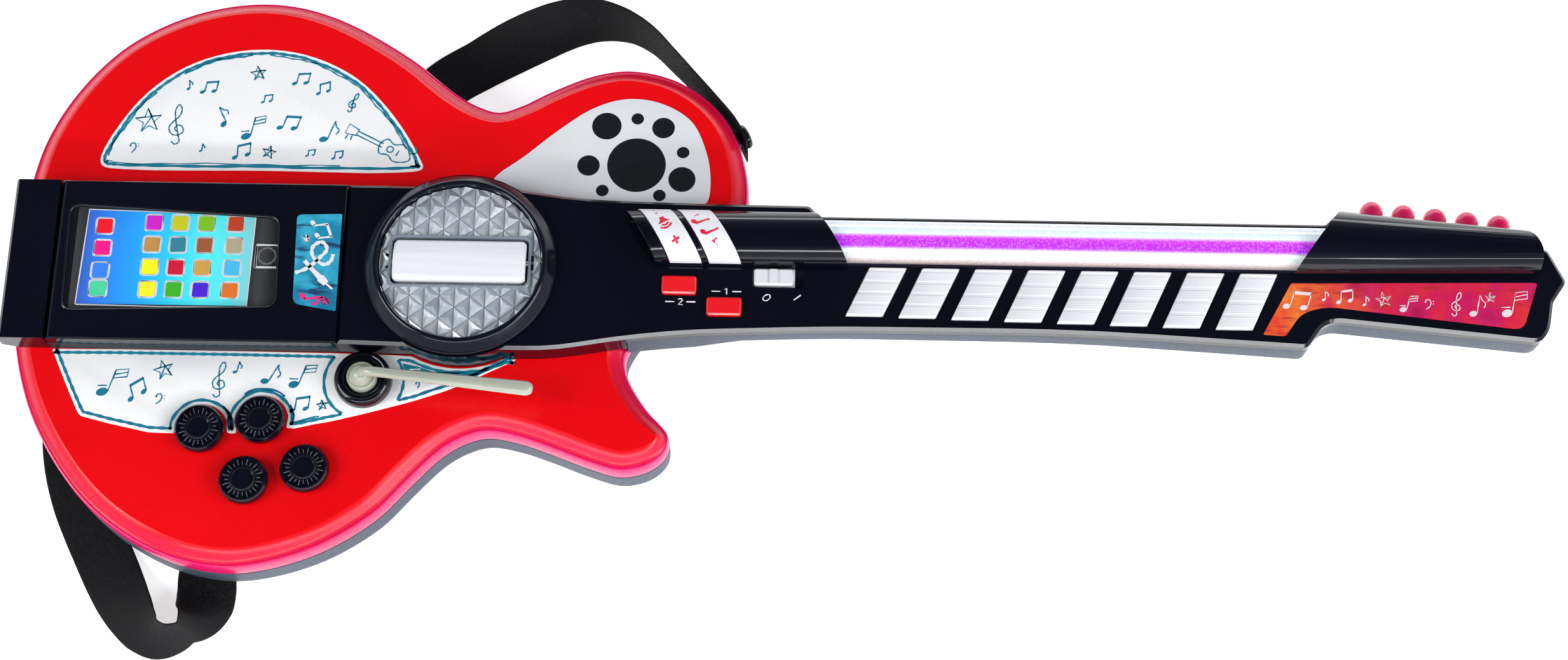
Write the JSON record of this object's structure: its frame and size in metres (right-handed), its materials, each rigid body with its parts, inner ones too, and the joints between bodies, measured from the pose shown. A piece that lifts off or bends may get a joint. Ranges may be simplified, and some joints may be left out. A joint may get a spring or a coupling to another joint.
{
  "type": "toy electric guitar",
  "caption": "Toy electric guitar with a red body, phone dock, strum disc, note keys, light tube, whammy bar and woven strap, lying on its back.",
  "frame": {"origin": "on the resting surface, straight below the middle of the strum disc", "axes": "+X along the neck to the headstock, +Y to the upper horn, +Z out of the front"},
  "size_m": [0.8398, 0.3834, 0.0756],
  "materials": {
    "red_plastic": "glossy",
    "grey_plastic": "satin",
    "black_plastic": "glossy",
    "dull_black_plastic": "matt",
    "white_plastic": "satin",
    "pale_plastic": "satin",
    "dark_red_plastic": "glossy",
    "silver_plastic": "patterned",
    "clear_plastic": "clear",
    "cloudy_plastic": "translucent",
    "blue_label": "printed, glossy",
    "red_label": "printed, glossy",
    "printed_card": "printed",
    "circuit_board": "lacquered",
    "iridescent_film": "holographic",
    "steel": "plated",
    "webbing": "woven"
  },
  "bodies": {
    "guitar": {"body_front_shell": "red_plastic", "body_back_shell": "grey_plastic", "main_circuit_board": "circuit_board", "speaker_driver": "dull_black_plastic", "battery_1": "steel", "battery_2": "steel", "battery_3": "steel", "battery_door": "grey_plastic", "upper_plate": "white_plastic", "speaker_grille": "pale_plastic", "pickguard": "white_plastic", "whammy_socket": "black_plastic", "dock_end_cap": "black_plastic", "phone_tray": "dull_black_plastic", "lid_hinge_pin": "steel", "strum_ring": "black_plastic", "strum_diffuser": "silver_plastic", "strum_pin": "steel", "neck_front_shell": "black_plastic", "neck_back_shell": "grey_plastic", "light_tube": "clear_plastic", "tube_film": "iridescent_film", "key_circuit_board": "circuit_board", "headstock_label": "red_label", "tube_housing": "black_plastic", "headstock_cover": "black_plastic", "strap_button_horn": "black_plastic", "strap_button_tail": "black_plastic", "strap": "webbing"},
    "lid": {"phone_lid": "black_plastic", "lid_window": "clear_plastic", "lid_label": "blue_label", "phone_card": "printed_card"},
    "strum": {"strum_bar": "white_plastic"},
    "whammy_hub_body": {"whammy_hub": "cloudy_plastic"},
    "whammy_arm_body": {"whammy_arm": "cloudy_plastic"},
    "volume": {"volume_button": "white_plastic"},
    "mode": {"mode_button": "white_plastic"},
    "beat_1": {"beat_button_1": "red_plastic"},
    "beat_2": {"beat_button_2": "red_plastic"},
    "slider": {"power_slider": "white_plastic"},
    "knob_1_body": {"knob_1": "black_plastic"},
    "knob_2_body": {"knob_2": "black_plastic"},
    "knob_3_body": {"knob_3": "black_plastic"},
    "knob_4_body": {"knob_4": "black_plastic"},
    "key_1_body": {"key_1": "white_plastic"},
    "key_2_body": {"key_2": "white_plastic"},
    "key_3_body": {"key_3": "white_plastic"},
    "key_4_body": {"key_4": "white_plastic"},
    "key_5_body": {"key_5": "white_plastic"},
    "key_6_body": {"key_6": "white_plastic"},
    "key_7_body": {"key_7": "white_plastic"},
    "key_8_body": {"key_8": "white_plastic"},
    "tuner_button_1_body": {"tuner_button_1": "dark_red_plastic"},
    "tuner_button_2_body": {"tuner_button_2": "dark_red_plastic"},
    "tuner_button_3_body": {"tuner_button_3": "dark_red_plastic"},
    "tuner_button_4_body": {"tuner_button_4": "dark_red_plastic"},
    "tuner_button_5_body": {"tuner_button_5": "dark_red_plastic"}
  },
  "joints": [
    {"name": "lid_hinge", "type": "hinge", "parent": "guitar", "child": "lid", "pos_m": [-0.2155, 0, 0.0541], "axis": [0, -1, 0], "range_deg": [0, 85]},
    {"name": "strum_rock", "type": "hinge", "parent": "guitar", "child": "strum", "pos_m": [0, 0, 0.0612], "axis": [1, 0, 0], "range_deg": [-8, 8], "stiffness_Nm_per_rad": 0.6},
    {"name": "whammy_swivel", "type": "hinge", "parent": "guitar", "child": "whammy_hub_body", "pos_m": [-0.05, -0.0615, 0.05], "axis": [0, 0, 1], "range_deg": [-90, 2]},
    {"name": "whammy_tilt", "type": "hinge", "parent": "whammy_hub_body", "child": "whammy_arm_body", "pos_m": [-0.05, -0.0615, 0.057], "axis": [0.0998, 0.995, 0], "range_deg": [-4, 2], "stiffness_Nm_per_rad": 2},
    {"name": "knob_1_turn", "type": "hinge", "parent": "guitar", "child": "knob_1_body", "pos_m": [-0.1347, -0.0904, 0.045], "axis": [0, 0, 1], "range_deg": [-135, 135]},
    {"name": "knob_2_turn", "type": "hinge", "parent": "guitar", "child": "knob_2_body", "pos_m": [-0.1029, -0.0849, 0.045], "axis": [0, 0, 1], "range_deg": [-135, 135]},
    {"name": "knob_3_turn", "type": "hinge", "parent": "guitar", "child": "knob_3_body", "pos_m": [-0.1089, -0.1184, 0.045], "axis": [0, 0, 1], "range_deg": [-135, 135]},
    {"name": "knob_4_turn", "type": "hinge", "parent": "guitar", "child": "knob_4_body", "pos_m": [-0.0774, -0.1114, 0.045], "axis": [0, 0, 1], "range_deg": [-135, 135]},
    {"name": "volume_press", "type": "slide", "parent": "guitar", "child": "volume", "axis": [0, 0, -1], "range_m": [0, 0.0012], "stiffness_N_per_m": 500},
    {"name": "mode_press", "type": "slide", "parent": "guitar", "child": "mode", "axis": [0, 0, -1], "range_m": [0, 0.0012], "stiffness_N_per_m": 500},
    {"name": "beat_1_press", "type": "slide", "parent": "guitar", "child": "beat_1", "axis": [0, 0, -1], "range_m": [0, 0.0015], "stiffness_N_per_m": 500},
    {"name": "beat_2_press", "type": "slide", "parent": "guitar", "child": "beat_2", "axis": [0, 0, -1], "range_m": [0, 0.0015], "stiffness_N_per_m": 500},
    {"name": "power_slide", "type": "slide", "parent": "guitar", "child": "slider", "axis": [1, 0, 0], "range_m": [0, 0.0055]},
    {"name": "key_1_press", "type": "slide", "parent": "guitar", "child": "key_1_body", "axis": [0, 0, -1], "range_m": [0, 0.0015], "stiffness_N_per_m": 400},
    {"name": "key_2_press", "type": "slide", "parent": "guitar", "child": "key_2_body", "axis": [0, 0, -1], "range_m": [0, 0.0015], "stiffness_N_per_m": 400},
    {"name": "key_3_press", "type": "slide", "parent": "guitar", "child": "key_3_body", "axis": [0, 0, -1], "range_m": [0, 0.0015], "stiffness_N_per_m": 400},
    {"name": "key_4_press", "type": "slide", "parent": "guitar", "child": "key_4_body", "axis": [0, 0, -1], "range_m": [0, 0.0015], "stiffness_N_per_m": 400},
    {"name": "key_5_press", "type": "slide", "parent": "guitar", "child": "key_5_body", "axis": [0, 0, -1], "range_m": [0, 0.0015], "stiffness_N_per_m": 400},
    {"name": "key_6_press", "type": "slide", "parent": "guitar", "child": "key_6_body", "axis": [0, 0, -1], "range_m": [0, 0.0015], "stiffness_N_per_m": 400},
    {"name": "key_7_press", "type": "slide", "parent": "guitar", "child": "key_7_body", "axis": [0, 0, -1], "range_m": [0, 0.0015], "stiffness_N_per_m": 400},
    {"name": "key_8_press", "type": "slide", "parent": "guitar", "child": "key_8_body", "axis": [0, 0, -1], "range_m": [0, 0.0015], "stiffness_N_per_m": 400},
    {"name": "tuner_button_1_press", "type": "slide", "parent": "guitar", "child": "tuner_button_1_body", "axis": [-0.0995, -0.995, 0], "range_m": [0, 0.002], "stiffness_N_per_m": 500},
    {"name": "tuner_button_2_press", "type": "slide", "parent": "guitar", "child": "tuner_button_2_body", "axis": [-0.0995, -0.995, 0], "range_m": [0, 0.002], "stiffness_N_per_m": 500},
    {"name": "tuner_button_3_press", "type": "slide", "parent": "guitar", "child": "tuner_button_3_body", "axis": [-0.0995, -0.995, 0], "range_m": [0, 0.002], "stiffness_N_per_m": 500},
    {"name": "tuner_button_4_press", "type": "slide", "parent": "guitar", "child": "tuner_button_4_body", "axis": [-0.0995, -0.995, 0], "range_m": [0, 0.002], "stiffness_N_per_m": 500},
    {"name": "tuner_button_5_press", "type": "slide", "parent": "guitar", "child": "tuner_button_5_body", "axis": [-0.0995, -0.995, 0], "range_m": [0, 0.002], "stiffness_N_per_m": 500}
  ]
}
